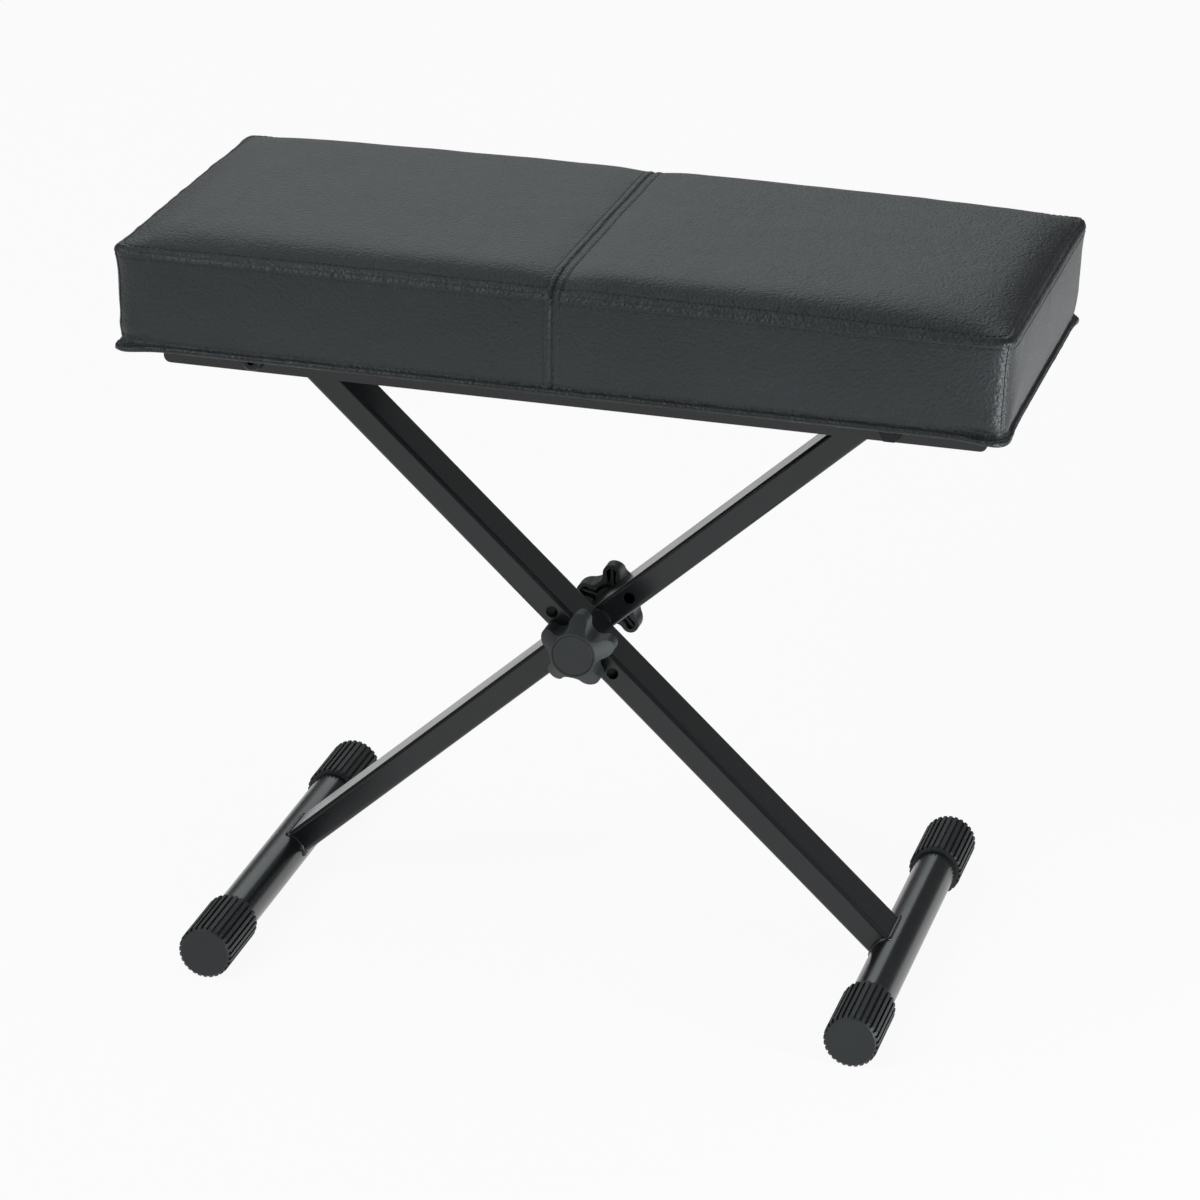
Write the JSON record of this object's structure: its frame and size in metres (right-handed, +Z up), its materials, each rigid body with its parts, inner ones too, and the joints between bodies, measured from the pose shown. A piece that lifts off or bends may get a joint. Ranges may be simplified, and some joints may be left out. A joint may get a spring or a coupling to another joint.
{
  "type": "keyboard bench",
  "caption": "Crossed-leg keyboard bench with a padded rectangular seat, T-shaped feet with ribbed end caps, and star knobs on the clamping bolt at the crossing.",
  "frame": {"origin": "on the floor, under the middle of the bench", "axes": "+X along the seat's length to the right, +Y from the front of the bench to the back, +Z up"},
  "size_m": [0.61, 0.356, 0.522],
  "materials": {
    "leatherette": "grained black leatherette, satin",
    "foam": "open-cell foam",
    "plywood": "bare plywood",
    "zinc_steel": "zinc plated",
    "black_steel": "black oxide",
    "powder_coat": "semi-gloss black powder coat",
    "nylon": "black nylon",
    "cap_rubber": "moulded ribbed rubber",
    "knob_plastic": "moulded, fine texture",
    "knob_cap_plastic": "smooth moulded disc"
  },
  "bodies": {
    "seat": {"cushion_cover": "leatherette", "cushion_foam": "foam", "seat_board": "plywood", "tee_nuts": "zinc_steel", "seat_bolts": "black_steel", "seat_washers": "black_steel", "front_rail": "powder_coat", "rear_rail": "powder_coat", "front_pivot_bolt": "black_steel", "rear_pivot_bolt": "black_steel", "pivot_washers": "black_steel", "pivot_nuts": "black_steel"},
    "front_leg": {"front_top_bar": "powder_coat", "front_bushes": "nylon", "front_leg_tube": "powder_coat", "front_foot_tube": "powder_coat", "right_front_cap": "cap_rubber", "right_rear_cap": "cap_rubber", "front_inner_washer": "nylon", "front_clamp_washer": "black_steel"},
    "rear_leg": {"rear_top_bar": "powder_coat", "rear_bushes": "nylon", "rear_leg_tube": "powder_coat", "rear_foot_tube": "powder_coat", "left_front_cap": "cap_rubber", "left_rear_cap": "cap_rubber", "rear_inner_washer": "nylon", "rear_clamp_washer": "black_steel"},
    "front_star": {"front_knob": "knob_plastic", "front_knob_cap": "knob_cap_plastic", "front_clamp_bolt": "zinc_steel"},
    "rear_star": {"rear_knob": "knob_plastic", "rear_knob_cap": "knob_cap_plastic", "rear_clamp_bolt": "zinc_steel"}
  },
  "joints": [
    {"name": "front_leg_fold", "type": "hinge", "parent": "seat", "child": "front_leg", "pos_m": [-0.22, 0, 0.427], "axis": [0, -1, 0], "range_deg": [-5.5, 38]},
    {"name": "rear_leg_fold", "type": "hinge", "parent": "seat", "child": "rear_leg", "pos_m": [0.22, 0, 0.427], "axis": [0, 1, 0], "range_deg": [-5.5, 38]},
    {"name": "front_knob_turn", "type": "hinge", "parent": "front_leg", "child": "front_star", "pos_m": [0, -0.05, 0.2266], "axis": [0, -1, 0], "continuous": true},
    {"name": "rear_knob_turn", "type": "hinge", "parent": "rear_leg", "child": "rear_star", "pos_m": [0, 0.05, 0.2266], "axis": [0, 1, 0], "continuous": true}
  ],
  "couplings": [
    {"joint": "rear_leg_fold", "follows": "front_leg_fold", "ratio": 1}
  ]
}
